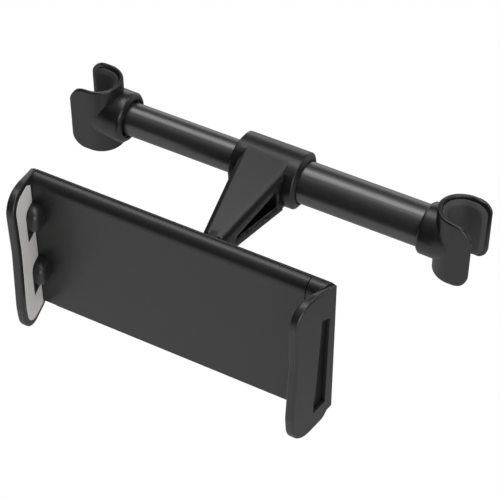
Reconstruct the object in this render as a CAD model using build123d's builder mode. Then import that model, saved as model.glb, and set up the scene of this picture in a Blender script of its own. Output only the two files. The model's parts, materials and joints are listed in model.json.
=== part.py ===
import os

from build123d import *

os.makedirs("parts", exist_ok=True)

# The origin is the middle of the cradle's front face, where the tablet rests.
# +X is to the right along the bar, +Y goes back to the headrest, +Z is up. Millimetres.

# Fits
running_gap = 0.05
seat_gap = 0.03
free_gap = 0.3
liner_gap = 0.25

# Bar
bar_y = 89.2
bar_z = 0.6
outer_tube_d = 20.0
outer_tube_wall = 1.2
inner_tube_d = 16.0
inner_tube_wall = 1.2
left_hook_x = -91.1
right_hook_x = 92.9

# Hub and arm
hub_r = 13.6
hub_half = 15.3
hub_dome = 1.75
arm_root_half = 13.6
arm_tip_half = 5.3
arm_root_top = 13.3
arm_root_bottom = -11.1
arm_tip_top = 6.3
arm_tip_bottom = -5.5
arm_tip_y = 34.0
arm_web = 2.2
window_far_y = 72.3
window_near_y = 43.4
window_top = 5.8
window_bottom = -3.4
rim_width = 4.3
rim_groove = 1.7

# Ball joint
ball_y = 18.2
ball_z = 1.2
ball_r = 8.5
neck_r = 4.2
stem_r = 3.0
stem_end_y = 41.0
arm_boss_r = 6.0
arm_boss_y = 28.4
seat_wall = 1.3
front_seat_rim = 5.2
socket_wall = 2.5
socket_back_y = 23.2
ring_front_y = 12.6
ring_back_y = 24.5
ring_r = 15.0
ring_lip_r = 7.9
ring_ribs = 24

# Hooks that press on the headrest posts
hook_half_width = 11.4
hook_half_height = 18.1
hook_reach = 9.6
hook_wall = 2.1
hook_tip_round = 7.0
post_r = 6.9
liner_half_height = 16.3
liner_reach = 8.2
liner_flare = 1.6
shell_flare = 0.8
collar_r = 12.3
collar_crease = 15.5
collar_dome = 1.7
tube_stop = 11.6
hook_web = 4.0
collar_recess = 1.5
collar_recess_depth = 2.6
hook_screw_r = 2.45
hook_screw_head_r = 4.5
hook_screw_head = 1.6

# Cradle
plate_half_height = 37.15
plate_depth = 6.9
shell_depth = 5.6
cover_depth = 10.0
shell_wall = 2.4
top_round = 5.0
bottom_round = 0.6
face_relief = 0.15
seam_to_lug = 1.4
seam_gap = 0.25
rail_z = 26.3
cavity_reach = 4.1

# Jaws. The side walls lean in towards the front, so that they hold the tablet.
jaw_out = 71.5
jaw_out_lean = 0.155
jaw_to_pad = 3.0
pad_lean = 0.2254
pad_thick = 1.2
pad_proud = 0.2
jaw_front = 19.9
jaw_top = 40.6
jaw_bottom = -40.6
jaw_back = 6.9
pad_front = 16.9
pad_top = 37.1
pad_bottom = -37.6
pad_back = -0.15
notch_depth = 8.0
notch_height = 17.2
notch_tops = (24.6, -8.0)
lug_gap = 0.5
lug_reach = 5.2
lug_front = 7.6
lug_round = 3.3
lug_height = 11.6
slot_top = 23.5
slot_bottom = -30.0
slot_depth = 1.9
slot_back = 1.7
slot_front_high = -2.2
slot_front_low = -6.4
pocket_height = 8.0
root_slope = 1.2

# Slide
slide_travel = 84.0
tongue_left = -50.0
tongue_front = 2.7
tongue_back = 5.3
tongue_half = 26.0
stop_pin_inset = 11.9
stop_pin_r = 2.2
spring_z = 15.0
spring_r = 2.1
spring_wire_r = 0.3
spring_turns = 16
spring_axis_y = 6.2
anchor_inset = 1.4
puller_x = -28.0
channel_half = 3.4
channel_floor_y = 8.7
cover_screw_z = 30.0
cover_screw_inset = 9.9
cover_screw_r = 1.2
cover_screw_head_r = 2.25
cover_screw_head = 1.4
cover_screw_sink = 1.6
cover_screw_tip_y = 3.0
spring_screw_r = 1.0
spring_screw_head_r = 1.9
spring_screw_head = 0.8
anchor_head_y = 3.6
puller_head_y = 7.6
groove = 0.25

# Bar spring
bar_spring_r = 6.4
bar_spring_wire_r = 0.6
bar_spring_turns = 9.5
cup_flange = 6.0
cup_spigot = 8.0
cup_groove = 1.5
bush_length = 20.0
plug_length = 8.0
hub_lip = 3.2
arm_screw_inset = 7.3
arm_screw_r = 1.5
arm_screw_head_r = 2.9
arm_screw_seat = 1.7

pad_face = jaw_out - jaw_to_pad
lug_inner_x = pad_face - lug_reach
seam_x = lug_inner_x - seam_to_lug
cavity_left = -seam_x - cavity_reach
stop_pin_x = seam_x - stop_pin_inset
anchor_x = -seam_x + anchor_inset
cover_screw_xs = (-seam_x + cover_screw_inset, 0.0, seam_x - cover_screw_inset)
arm_screw_xs = (-hub_half + arm_screw_inset, hub_half - arm_screw_inset)
outer_tube_r = outer_tube_d / 2
outer_bore_r = outer_tube_r - outer_tube_wall
inner_tube_r = inner_tube_d / 2
inner_bore_r = inner_tube_r - inner_tube_wall
liner_outer_r = hook_half_width - hook_wall - liner_gap
hook_inner_r = hook_half_width - hook_wall
outer_tube_left = -(hub_half + hub_dome - hub_lip)
outer_tube_right = right_hook_x - tube_stop
inner_tube_left = left_hook_x + tube_stop
inner_tube_right = outer_tube_left + bush_length + free_gap
spigot_length = hook_web - (tube_stop - hook_inner_r)
cover_front = shell_depth + groove

bar_centre = Plane(origin=(0, bar_y, bar_z), x_dir=(0, 1, 0), z_dir=(1, 0, 0))
joint_centre = Plane(origin=(0, ball_y, ball_z), x_dir=(1, 0, 0), z_dir=(0, 1, 0))


def across_bar(x):
    # A plane square to the bar at the given x.
    return bar_centre.offset(x)


def round_bar(x0, x1, radius, bore=0.0):
    # A straight round piece on the bar's axis.
    with BuildPart() as piece:
        with BuildSketch(across_bar(x0)):
            Circle(radius)
            if bore:
                Circle(bore, mode=Mode.SUBTRACT)
        extrude(amount=x1 - x0)
    return piece.part


def coil(start, axis, length, radius, wire_r, turns):
    # A round wire wound about a straight axis.
    with BuildPart() as wound:
        with BuildLine() as path:
            Helix(
                pitch=length / turns, height=length, radius=radius, center=start, direction=axis
            )
        section_plane = Plane(origin=path.line @ 0, z_dir=path.line % 0)
        with BuildSketch(section_plane):
            Circle(wire_r)
        sweep(path=path.line, is_frenet=True)
    return wound.part


# Outer tube: the fixed half of the bar, with two holes for the hub's screws.
with BuildPart() as outer_tube:
    add(round_bar(outer_tube_left, outer_tube_right, outer_tube_r, outer_bore_r))
    with BuildSketch(Plane(origin=(0, bar_y, bar_z), x_dir=(1, 0, 0), z_dir=(0, 0, -1))):
        with Locations(*[(x, 0) for x in arm_screw_xs]):
            Circle(arm_screw_r + seat_gap)
    extrude(amount=outer_tube_d, mode=Mode.SUBTRACT)
outer_tube.part.label = "outer_tube"
export_step(outer_tube.part, "parts/outer_tube.step")

# Inner tube: slides in the outer one through the guide bush.
inner_tube = round_bar(inner_tube_left, inner_tube_right, inner_tube_r, inner_bore_r)
inner_tube.label = "inner_tube"
export_step(inner_tube, "parts/inner_tube.step")

# Guide bush: sits in the mouth of the outer tube and carries the inner tube.
bush_right = outer_tube_left + bush_length
with BuildPart() as guide_bush:
    with BuildSketch(across_bar(outer_tube_left)):
        Circle(outer_bore_r - seat_gap)
        Circle(inner_tube_r + running_gap, mode=Mode.SUBTRACT)
    extrude(amount=bush_length)
    bush_mouth = guide_bush.edges().filter_by(GeomType.CIRCLE).filter_by(
        lambda edge: edge.radius < inner_tube_r + 2 * running_gap
    )
    chamfer(bush_mouth, length=0.4)
guide_bush.part.label = "guide_bush"
export_step(guide_bush.part, "parts/guide_bush.step")

# Spring cup: its flange runs in the outer tube and stops against the guide bush.
cup_right = inner_tube_right + cup_flange
with BuildPart() as spring_cup:
    with BuildSketch(across_bar(inner_tube_right)):
        Circle(outer_bore_r - running_gap)
    extrude(amount=cup_flange)
    with BuildSketch(across_bar(inner_tube_right - cup_spigot)):
        Circle(inner_bore_r - seat_gap)
    extrude(amount=cup_spigot)
    with BuildSketch(across_bar(cup_right - cup_groove)):
        Circle(bar_spring_r + bar_spring_wire_r + free_gap)
        Circle(bar_spring_r - bar_spring_wire_r - free_gap, mode=Mode.SUBTRACT)
    extrude(amount=cup_groove, mode=Mode.SUBTRACT)
    with BuildSketch(across_bar(inner_tube_right - cup_spigot)):
        Circle(inner_bore_r - 2)
    extrude(amount=cup_spigot + cup_flange / 2, mode=Mode.SUBTRACT)
spring_cup.part.label = "spring_cup"
export_step(spring_cup.part, "parts/spring_cup.step")


def end_plug(tube_end, direction, bore_r, length):
    # Fills the end of a tube behind the hook's spigot and takes the hook's screw.
    outer = tube_end - direction * (spigot_length + free_gap)
    with BuildPart() as plug:
        with BuildSketch(across_bar(outer)):
            Circle(bore_r - seat_gap)
            Circle(hook_screw_r + running_gap, mode=Mode.SUBTRACT)
        extrude(amount=-direction * length)
        chamfer(plug.edges().filter_by(GeomType.CIRCLE), length=0.3)
    return plug.part


right_plug = end_plug(outer_tube_right, 1, outer_bore_r, plug_length)
right_plug.label = "right_plug"
export_step(right_plug, "parts/right_plug.step")
left_plug = end_plug(inner_tube_left, -1, inner_bore_r, plug_length + 2)
left_plug.label = "left_plug"
export_step(left_plug, "parts/left_plug.step")

# Bar spring: pushes the inner tube out of the outer one.
plug_face = outer_tube_right - spigot_length - free_gap - plug_length
spring_left = cup_right - cup_groove + bar_spring_wire_r + 0.1
spring_right = plug_face - bar_spring_wire_r - 0.1
bar_spring = coil(
    (spring_left, bar_y, bar_z),
    (1, 0, 0),
    spring_right - spring_left,
    bar_spring_r,
    bar_spring_wire_r,
    bar_spring_turns,
)
bar_spring.label = "bar_spring"
export_step(bar_spring, "parts/bar_spring.step")


def hook_plane(side, z=0.0):
    # Seen from above, at a hook: local x points out along the bar.
    centre_x = right_hook_x if side > 0 else left_hook_x
    return Plane(origin=(centre_x, bar_y, bar_z + z), x_dir=(side, 0, 0), z_dir=(0, 0, 1))


def hook_side_plane(side):
    # Square to Y at a hook: local x points out along the bar, local y points up.
    centre_x = right_hook_x if side > 0 else left_hook_x
    return Plane(origin=(centre_x, bar_y, bar_z), x_dir=(side, 0, 0), z_dir=(0, -side, 0))


def channel_outline(half, reach):
    # Half round behind, straight towards the open side.
    with BuildLine() as outline:
        ThreePointArc((0, half), (-half, 0), (0, -half))
        Polyline((0, -half), (reach, -half), (reach, half), (0, half))
    return outline.line


def channel_rim(side, direction, z):
    # The end of a hook's channel, facing up or down.
    return Plane(
        origin=hook_plane(side, direction * z).origin,
        x_dir=(side, 0, 0),
        z_dir=(0, 0, direction),
    )


def hook_shell(side, tube_r, tube_bore_r):
    # A U that opens outwards, with a round collar for the tube on its back.
    with BuildPart() as shell:
        with BuildSketch(hook_plane(side, -hook_half_height)):
            make_face(channel_outline(hook_half_width, hook_reach).edges())
        extrude(amount=2 * hook_half_height)
        tip_edges = shell.edges().filter_by(Axis.Y).filter_by(
            lambda edge: abs(edge.center().X) > abs(hook_plane(side).origin.X) + hook_reach - 0.1
        )
        fillet(tip_edges, radius=hook_tip_round)
        # Collar and neck, turned about the bar's axis.
        with BuildSketch(hook_side_plane(side)):
            with BuildLine():
                Polyline(
                    (0, 0),
                    (1.5, hook_half_width - 0.4),
                    (-8.5, collar_r + 0.1),
                    (-collar_crease, collar_r),
                    (-collar_crease - 0.75 * collar_dome, collar_r - 1.1),
                    (-collar_crease - collar_dome, collar_r - 2.6),
                    (-collar_crease - collar_dome, 0),
                    (0, 0),
                )
            make_face()
        revolve(axis=Axis((0, bar_y, bar_z), (1, 0, 0)))
        # Softened rims above and below.
        rims = shell.faces().filter_by(Axis.Z).edges().filter_by(Axis.Y, reverse=True)
        fillet(rims, radius=1.0)
        # The channel for the post and its liner, flared at both ends.
        with BuildSketch(hook_plane(side, -hook_half_height - 1)):
            make_face(channel_outline(hook_inner_r, 2 * hook_reach).edges())
        extrude(amount=2 * hook_half_height + 2, mode=Mode.SUBTRACT)
        for direction in (1, -1):
            with BuildSketch(channel_rim(side, direction, hook_half_height - shell_flare)):
                make_face(channel_outline(hook_inner_r, 2 * hook_reach).edges())
            extrude(amount=2 * shell_flare, taper=-45, mode=Mode.SUBTRACT)
        # The socket for the tube, around a spigot, and the recess in the collar's end.
        collar_end = collar_crease + collar_dome
        end_x = hook_plane(side).origin.X
        with BuildSketch(across_bar(end_x - side * (collar_end + 1))):
            Circle(tube_r + seat_gap)
        extrude(amount=side * (collar_end + 1 - tube_stop), mode=Mode.SUBTRACT)
        with BuildSketch(across_bar(end_x - side * (tube_stop + spigot_length))):
            Circle(tube_bore_r - seat_gap)
        extrude(amount=side * (spigot_length + 0.5))
        with BuildSketch(across_bar(end_x - side * (collar_end + 1))):
            Circle(tube_r + collar_recess)
        extrude(amount=side * collar_recess_depth, mode=Mode.SUBTRACT)
        # The screw's hole and the seat of its head.
        with BuildSketch(across_bar(end_x)):
            Circle(hook_screw_r + 0.15)
        extrude(amount=-side * (collar_end + 2), mode=Mode.SUBTRACT)
        with BuildSketch(across_bar(end_x)):
            Circle(hook_screw_head_r + 0.2)
        extrude(amount=-side * (hook_inner_r + hook_screw_head + 0.2), mode=Mode.SUBTRACT)
    return shell.part


def hook_liner(side):
    # Rubber lining of the hook, the surface that bears on the post.
    tip = liner_reach
    half = liner_half_height
    with BuildPart() as liner:
        with BuildSketch(hook_plane(side, -half)):
            make_face(channel_outline(liner_outer_r, tip).edges())
        extrude(amount=2 * half)
        tip_edges = liner.edges().filter_by(Axis.Y).filter_by(
            lambda edge: abs(edge.center().X) > abs(hook_plane(side).origin.X) + tip - 0.1
        )
        fillet(tip_edges, radius=hook_tip_round - 0.6)
        with BuildSketch(hook_plane(side, -half)):
            make_face(channel_outline(post_r, 2 * tip).edges())
        extrude(amount=2 * half, mode=Mode.SUBTRACT)
        # The mouth of the channel is flared at both ends, for the post to slip in.
        for direction in (1, -1):
            with BuildSketch(channel_rim(side, direction, half - liner_flare)):
                make_face(channel_outline(post_r, 2 * tip).edges())
            extrude(amount=2 * liner_flare, taper=-45, mode=Mode.SUBTRACT)
    return liner.part


def hook_screw(side):
    # Holds the hook on the plug in the tube's end, under the liner.
    end_x = hook_plane(side).origin.X
    seat = hook_inner_r + hook_screw_head + 0.15
    with BuildPart() as screw:
        with BuildSketch(across_bar(end_x - side * seat)):
            Circle(hook_screw_head_r)
        extrude(amount=side * hook_screw_head)
        with BuildSketch(across_bar(end_x - side * (seat + 10))):
            Circle(hook_screw_r)
        extrude(amount=side * 10.2)
        with BuildSketch(across_bar(end_x - side * (seat - 0.5))):
            RegularPolygon(1.6, 6, major_radius=False)
        extrude(amount=side * 2, mode=Mode.SUBTRACT)
    return screw.part


left_hook = hook_shell(-1, inner_tube_r, inner_bore_r)
left_hook.label = "left_hook"
export_step(left_hook, "parts/left_hook.step")
right_hook = hook_shell(1, outer_tube_r, outer_bore_r)
right_hook.label = "right_hook"
export_step(right_hook, "parts/right_hook.step")
left_hook_liner = hook_liner(-1)
left_hook_liner.label = "left_hook_liner"
export_step(left_hook_liner, "parts/left_hook_liner.step")
right_hook_liner = hook_liner(1)
right_hook_liner.label = "right_hook_liner"
export_step(right_hook_liner, "parts/right_hook_liner.step")
left_hook_screw = hook_screw(-1)
left_hook_screw.label = "left_hook_screw"
export_step(left_hook_screw, "parts/left_hook_screw.step")
right_hook_screw = hook_screw(1)
right_hook_screw.label = "right_hook_screw"
export_step(right_hook_screw, "parts/right_hook_screw.step")

# Hub and arm, one moulding: a short barrel on the tube and a wedge that narrows to the joint.
arm_length = bar_y - arm_tip_y
with BuildPart() as arm:
    root_plane = Plane(origin=(0, bar_y - 2, bar_z), x_dir=(1, 0, 0), z_dir=(0, -1, 0))
    tip_plane = Plane(origin=(0, arm_tip_y, bar_z), x_dir=(1, 0, 0), z_dir=(0, -1, 0))
    with BuildSketch(root_plane):
        with Locations((0, (arm_root_top + arm_root_bottom) / 2)):
            Rectangle(2 * arm_root_half, arm_root_top - arm_root_bottom)
    with BuildSketch(tip_plane):
        with Locations((0, (arm_tip_top + arm_tip_bottom) / 2)):
            Rectangle(2 * arm_tip_half, arm_tip_top - arm_tip_bottom)
    loft(ruled=True)
    long_edges = arm.edges().filter_by(lambda edge: edge.length > arm_length * 0.9)
    top_long = long_edges.sort_by(Axis.Z)[-2:]
    bottom_long = long_edges.sort_by(Axis.Z)[:2]
    fillet(top_long, radius=3.4)
    fillet(bottom_long, radius=1.2)
    # The window pockets on both sides, with a thin web left between them.
    side_plane = Plane(origin=(0, 0, bar_z), x_dir=(0, 1, 0), z_dir=(1, 0, 0))
    with BuildSketch(side_plane.offset(arm_web / 2)) as window:
        with BuildLine():
            Polyline(
                (window_near_y, -0.4),
                (window_far_y, window_bottom),
                (window_far_y, window_top),
                (window_near_y, 0.6),
                close=True,
            )
        make_face()
        fillet(window.vertices(), radius=0.45)
    extrude(amount=arm_root_half + 4, mode=Mode.SUBTRACT)
    with BuildSketch(side_plane.offset(-arm_web / 2)):
        add(window.sketch_local)
    extrude(amount=-arm_root_half - 4, mode=Mode.SUBTRACT)
    # The boss that takes the ball's stem.
    boss_back = arm_tip_y + 4
    with BuildSketch(joint_centre.offset(arm_boss_y - ball_y)):
        Circle(arm_boss_r)
    extrude(amount=boss_back - arm_boss_y)
    # The wedge stops short of the barrel's rims, so that a groove sets them off.
    for side in (-1, 1):
        with BuildSketch(across_bar(side * (hub_half - rim_width))):
            Circle(hub_r + rim_groove)
        extrude(amount=side * rim_width, mode=Mode.SUBTRACT)
    # The barrel on the tube, with shallow domed ends.
    with BuildSketch(Plane(origin=(0, bar_y, bar_z), x_dir=(1, 0, 0), z_dir=(0, -1, 0))):
        with BuildLine():
            Polyline(
                (-hub_half - hub_dome, 0),
                (-hub_half - hub_dome, outer_tube_r + 0.9),
                (-hub_half - 0.55 * hub_dome, hub_r - 1.4),
                (-hub_half, hub_r),
                (hub_half, hub_r),
                (hub_half + 0.55 * hub_dome, hub_r - 1.4),
                (hub_half + hub_dome, outer_tube_r + 0.9),
                (hub_half + hub_dome, 0),
                (-hub_half - hub_dome, 0),
            )
        make_face()
    revolve(axis=Axis((0, bar_y, bar_z), (1, 0, 0)))
    # Bores for the outer tube, for the inner tube at the left end, and for the stem.
    with BuildSketch(across_bar(outer_tube_left)):
        Circle(outer_tube_r + seat_gap)
    extrude(amount=2 * hub_half + 10, mode=Mode.SUBTRACT)
    with BuildSketch(across_bar(-hub_half - hub_dome - 1)):
        Circle(inner_tube_r + free_gap)
    extrude(amount=2 * hub_half, mode=Mode.SUBTRACT)
    with BuildSketch(joint_centre.offset(arm_boss_y - ball_y - 1)):
        Circle(stem_r + seat_gap)
    extrude(amount=stem_end_y - arm_boss_y + 1.5, mode=Mode.SUBTRACT)
    # Two holes under the barrel for the screws that fix it to the tube.
    screw_seat = Plane(
        origin=(0, bar_y, bar_z - hub_r + arm_screw_seat), x_dir=(1, 0, 0), z_dir=(0, 0, -1)
    )
    with BuildSketch(screw_seat):
        with Locations(*[(x, 0) for x in arm_screw_xs]):
            Circle(arm_screw_r + seat_gap)
    extrude(amount=-(hub_r - arm_screw_seat - outer_bore_r), mode=Mode.SUBTRACT)
    with BuildSketch(screw_seat):
        with Locations(*[(x, 0) for x in arm_screw_xs]):
            Circle(arm_screw_head_r + 0.2)
    extrude(amount=arm_screw_seat + 1, mode=Mode.SUBTRACT)
arm.part.label = "arm"
export_step(arm.part, "parts/arm.step")

# Screws under the hub that fix it to the outer tube.
with BuildPart() as arm_screws:
    with BuildSketch(screw_seat):
        with Locations(*[(x, 0) for x in arm_screw_xs]):
            Circle(arm_screw_r)
    extrude(amount=-(hub_r - arm_screw_seat - outer_bore_r - 0.05))
    with BuildSketch(screw_seat):
        with Locations(*[(x, 0) for x in arm_screw_xs]):
            Circle(arm_screw_head_r)
    extrude(amount=arm_screw_seat - 0.2)
    with BuildSketch(screw_seat.offset(arm_screw_seat - 1.1)):
        with Locations(*[(x, 0) for x in arm_screw_xs]):
            RegularPolygon(1.0, 6, major_radius=False)
    extrude(amount=1, mode=Mode.SUBTRACT)
arm_screws.part.label = "arm_screws"
export_step(arm_screws.part, "parts/arm_screws.step")


# Ball stud: the ball, its neck and the stem that is pressed into the arm.
with BuildPart() as ball_stud:
    with Locations((0, ball_y, ball_z)):
        Sphere(ball_r)
    with BuildSketch(joint_centre):
        Circle(neck_r)
    extrude(amount=arm_boss_y - ball_y)
    with BuildSketch(joint_centre):
        Circle(stem_r)
    extrude(amount=stem_end_y - ball_y)
ball_stud.part.label = "ball_stud"
export_step(ball_stud.part, "parts/ball_stud.step")

# Front seat: a loose cup between the ball and the bottom of the socket.
cup_outer_r = ball_r + running_gap + seat_wall
cup_rim_y = ball_y - front_seat_rim
with BuildPart() as front_seat:
    with Locations((0, ball_y, ball_z)):
        Sphere(cup_outer_r)
        Sphere(ball_r + running_gap, mode=Mode.SUBTRACT)
    split(bisect_by=Plane(origin=(0, cup_rim_y, ball_z), z_dir=(0, -1, 0)))
front_seat.part.label = "front_seat"
export_step(front_seat.part, "parts/front_seat.step")

# Rear seat: the ring that the lock ring presses against the ball from behind.
socket_r = cup_outer_r + running_gap
rear_seat_front = ball_y + 0.8
with BuildPart() as rear_seat:
    with BuildSketch(joint_centre.offset(rear_seat_front - ball_y)):
        Circle(socket_r - running_gap)
    extrude(amount=socket_back_y - rear_seat_front)
    with Locations((0, ball_y, ball_z)):
        Sphere(ball_r + running_gap, mode=Mode.SUBTRACT)
rear_seat.part.label = "rear_seat"
export_step(rear_seat.part, "parts/rear_seat.step")

# Lock ring: screwed on the socket, its lip holds the rear seat.
boss_r = socket_r + socket_wall
with BuildPart() as lock_ring:
    with BuildSketch(joint_centre.offset(ring_front_y - ball_y)):
        Circle(ring_r - 0.5)
        with PolarLocations(ring_r - 0.5, ring_ribs):
            Circle(0.9)
    extrude(amount=ring_back_y - ring_front_y)
    ring_rims = lock_ring.faces().filter_by(Axis.Y).edges().filter_by(GeomType.CIRCLE)
    chamfer(ring_rims, length=0.35)
    with BuildSketch(joint_centre.offset(ring_front_y - ball_y)):
        Circle(boss_r + running_gap)
    extrude(amount=socket_back_y + 0.05 - ring_front_y, mode=Mode.SUBTRACT)
    with BuildSketch(joint_centre.offset(ring_front_y - ball_y)):
        Circle(ring_lip_r)
    extrude(amount=ring_back_y - ring_front_y, mode=Mode.SUBTRACT)
lock_ring.part.label = "lock_ring"
export_step(lock_ring.part, "parts/lock_ring.step")

# Sections square to X: local x is Y, local y is Z.
def section(x):
    return Plane(origin=(x, 0, 0), x_dir=(0, 1, 0), z_dir=(1, 0, 0))


def leaning(x, lean):
    # A plane through (x, 0) that leans with the jaw, facing outwards.
    return Plane(origin=(x, 0, 0), x_dir=(0, 0, -1), z_dir=(1, -lean, 0))


jaw_corners = (
    (jaw_back + 4, jaw_top - 3.1),
    (-7.5, jaw_top),
    (-jaw_front, jaw_top),
    (-jaw_front + 1.0, 9.0),
    (-jaw_front - 0.9, -22.0),
    (-jaw_front + 0.6, jaw_bottom),
    (1.5, jaw_bottom),
    (jaw_back + 4, jaw_bottom + 8.9),
)
jaw_rounds = (1.8, 30.0, 9.0, 60.0, 24.0, 12.5, 4.5, 1.8)
pad_corners = (
    (pad_back, pad_top - 3.1),
    (-4.0, pad_top),
    (-pad_front, pad_top),
    (-pad_front + 1.1, 8.0),
    (-pad_front - 0.9, -24.0),
    (-pad_front + 0.5, pad_bottom),
    (pad_back, pad_bottom),
)
pad_rounds = (0.5, 3.0, 6.0, 50.0, 20.0, 9.5, 1.0)


def slab(corners, rounds, inner, inner_lean, outer, outer_lean, growth=0.0):
    # An outline square to X, cut off by two leaning planes.
    with BuildPart() as piece:
        with BuildSketch(section(lug_inner_x - 8)):
            with BuildLine():
                FilletPolyline(*corners, radius=rounds, close=True)
            make_face()
            if growth:
                offset(amount=growth)
        extrude(amount=30)
        split(bisect_by=leaning(outer, outer_lean), keep=Keep.BOTTOM)
        split(bisect_by=leaning(inner, inner_lean), keep=Keep.TOP)
    return piece.part


def jaw_notches(growth):
    # The notches that let the lugs through the pad, from its rear edge.
    with BuildPart() as notches:
        for top in notch_tops:
            with BuildSketch(section(lug_inner_x - 8)) as notch:
                with Locations((0, top - notch_height / 2)):
                    Rectangle(2 * notch_depth - 2 * growth, notch_height - 2 * growth)
                high_front = notch.vertices().sort_by(Axis.Y)[-2:].sort_by(Axis.X)[0]
                fillet(high_front, radius=lug_round + lug_gap - growth)
            extrude(amount=20)
    return notches.part


# Pad of the right jaw, with a notch around each lug.
with BuildPart() as right_jaw_pad:
    add(slab(pad_corners, pad_rounds, pad_face, pad_lean, pad_face + pad_thick, pad_lean))
    add(jaw_notches(0), mode=Mode.SUBTRACT)
right_jaw_pad.part.label = "right_jaw_pad"
export_step(right_jaw_pad.part, "parts/right_jaw_pad.step")
with BuildPart() as left_jaw_pad:
    mirror(right_jaw_pad.part, about=Plane.YZ)
left_jaw_pad.part.label = "left_jaw_pad"
export_step(left_jaw_pad.part, "parts/left_jaw_pad.step")

# The jaw's wall, softened at both faces, before the plate is joined to it.
with BuildPart() as jaw_wall:
    add(slab(jaw_corners, jaw_rounds, pad_face + pad_proud, pad_lean, jaw_out, jaw_out_lean))
    broad_faces = jaw_wall.faces().sort_by(SortBy.AREA)[-2:].sort_by(Axis.X)
    fillet(broad_faces[1].edges(), radius=1.1)
    fillet(broad_faces[0].edges(), radius=0.9)
    split(bisect_by=Plane.XZ.offset(-jaw_back), keep=Keep.TOP)


def lugs():
    # Two rounded lugs in the corner between the plate and the jaw.
    with BuildPart() as pair:
        for top in notch_tops:
            with BuildPart(mode=Mode.PRIVATE) as lug:
                with BuildSketch(Plane.XY.offset(top - lug_gap)):
                    with BuildLine():
                        FilletPolyline(
                            (lug_inner_x, 1.5),
                            (lug_inner_x, -lug_front),
                            (pad_face + 0.4, -lug_front),
                            radius=lug_round + 0.5,
                        )
                        Polyline(
                            (pad_face + 0.4, -lug_front), (jaw_out - 1.0, 1.5), (lug_inner_x, 1.5)
                        )
                    make_face()
                extrude(amount=-lug_height)
                ends = lug.faces().filter_by(Axis.Z).edges()
                fillet(ends.filter_by(GeomType.CIRCLE), radius=lug_round)
            add(lug.part)
    return pair.part


# The jaw's end, the same on both sides: wall, lugs, the pad's recess and the outer slot.
with BuildPart() as jaw_end:
    add(jaw_wall.part)
    with BuildPart(mode=Mode.PRIVATE) as pad_recess:
        add(
            slab(
                pad_corners,
                pad_rounds,
                lug_inner_x - 4,
                pad_lean,
                pad_face + pad_thick,
                pad_lean,
                seat_gap,
            )
        )
        add(jaw_notches(seat_gap), mode=Mode.SUBTRACT)
    add(pad_recess.part, mode=Mode.SUBTRACT)
    add(lugs())
    # A slot down the outer face, deep behind and running out in front, with a deeper low end.
    with BuildPart(mode=Mode.PRIVATE) as slot:
        for level, front in ((slot_top + 1, slot_front_high), (slot_bottom - 1, slot_front_low)):
            with BuildSketch(Plane.XY.offset(level)):
                with BuildLine():
                    Polyline(
                        (jaw_out + slot_back * jaw_out_lean - slot_depth, slot_back),
                        (jaw_out + 3, slot_back),
                        (jaw_out + 3, front),
                        (jaw_out + front * jaw_out_lean, front),
                        close=True,
                    )
                make_face()
        loft(ruled=True)
        with BuildSketch(section(jaw_out - 6)):
            with BuildLine():
                FilletPolyline(
                    (slot_back, slot_top),
                    (slot_front_low - 1, slot_top),
                    (slot_front_low - 1, slot_bottom),
                    (slot_back, slot_bottom),
                    radius=1.5,
                    close=True,
                )
            make_face()
        extrude(amount=12, mode=Mode.INTERSECT)
    add(slot.part, mode=Mode.SUBTRACT)
    with BuildPart(mode=Mode.PRIVATE) as pocket:
        with BuildSketch(section(jaw_out - 6)):
            with Locations(((slot_back + slot_front_low) / 2, slot_bottom + pocket_height / 2)):
                RectangleRounded(slot_back - slot_front_low, pocket_height, 1.5)
        extrude(amount=12)
        split(bisect_by=leaning(pad_face + pad_thick + 0.7, pad_lean), keep=Keep.TOP)
    add(pocket.part, mode=Mode.SUBTRACT)


block_corners = (
    (0, plate_half_height),
    (0, -plate_half_height),
    (jaw_back, -plate_half_height),
    (cover_depth - 0.3, -plate_half_height + 4),
    (cover_depth - 0.3, plate_half_height - 4),
    (jaw_back, plate_half_height),
)
block_rounds = (top_round, bottom_round, 0.5, 0.5, 0.5, 0.5)
shell_corners = (
    (0, plate_half_height),
    (0, -plate_half_height),
    (shell_depth, -plate_half_height),
    (shell_depth, plate_half_height),
)
shell_rounds = (top_round, bottom_round, 0.2, 0.2)
root_corners = (
    (face_relief, plate_half_height),
    (face_relief, -plate_half_height),
    (shell_depth, -plate_half_height),
    (shell_depth, plate_half_height),
)

# Front shell: the plate and the left jaw in one moulding, open behind and at the right.
with BuildPart() as front_shell:
    mirror(jaw_end.part, about=Plane.YZ)
    mirror(slab(root_corners, shell_rounds, seam_x, 0, jaw_out, jaw_out_lean), about=Plane.YZ)
    with BuildSketch(section(-seam_x)):
        with BuildLine():
            FilletPolyline(*shell_corners, radius=shell_rounds, close=True)
        make_face()
    extrude(amount=2 * seam_x)
    # The room for the tongue, and pockets that keep the rails' walls even.
    with BuildSketch(section(cavity_left)):
        with Locations(((shell_wall + shell_depth) / 2 + 0.5, 0)):
            Rectangle(shell_depth - shell_wall + 1, 2 * rail_z)
    extrude(amount=seam_x - cavity_left + 1, mode=Mode.SUBTRACT)
    with BuildSketch(Plane.XZ.offset(-shell_depth)):
        for centre in (-26.0, 26.0):
            for level in (-31.6, 31.6):
                with Locations((centre, level)):
                    Rectangle(41, 6.2)
    extrude(amount=shell_depth - shell_wall, mode=Mode.SUBTRACT)
    # The pin that stops the slide at full travel.
    with BuildSketch(Plane.XZ.offset(-shell_wall)):
        with Locations((stop_pin_x, 0)):
            Circle(stop_pin_r)
    extrude(amount=-(shell_depth - shell_wall))
    # Blind holes for the cover's screws.
    with BuildSketch(Plane.XZ.offset(-shell_depth)):
        for level in (-cover_screw_z, cover_screw_z):
            with Locations(*[(x, level) for x in cover_screw_xs]):
                Circle(cover_screw_r + seat_gap)
    extrude(amount=2.8, mode=Mode.SUBTRACT)
front_shell.part.label = "front_shell"
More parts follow.
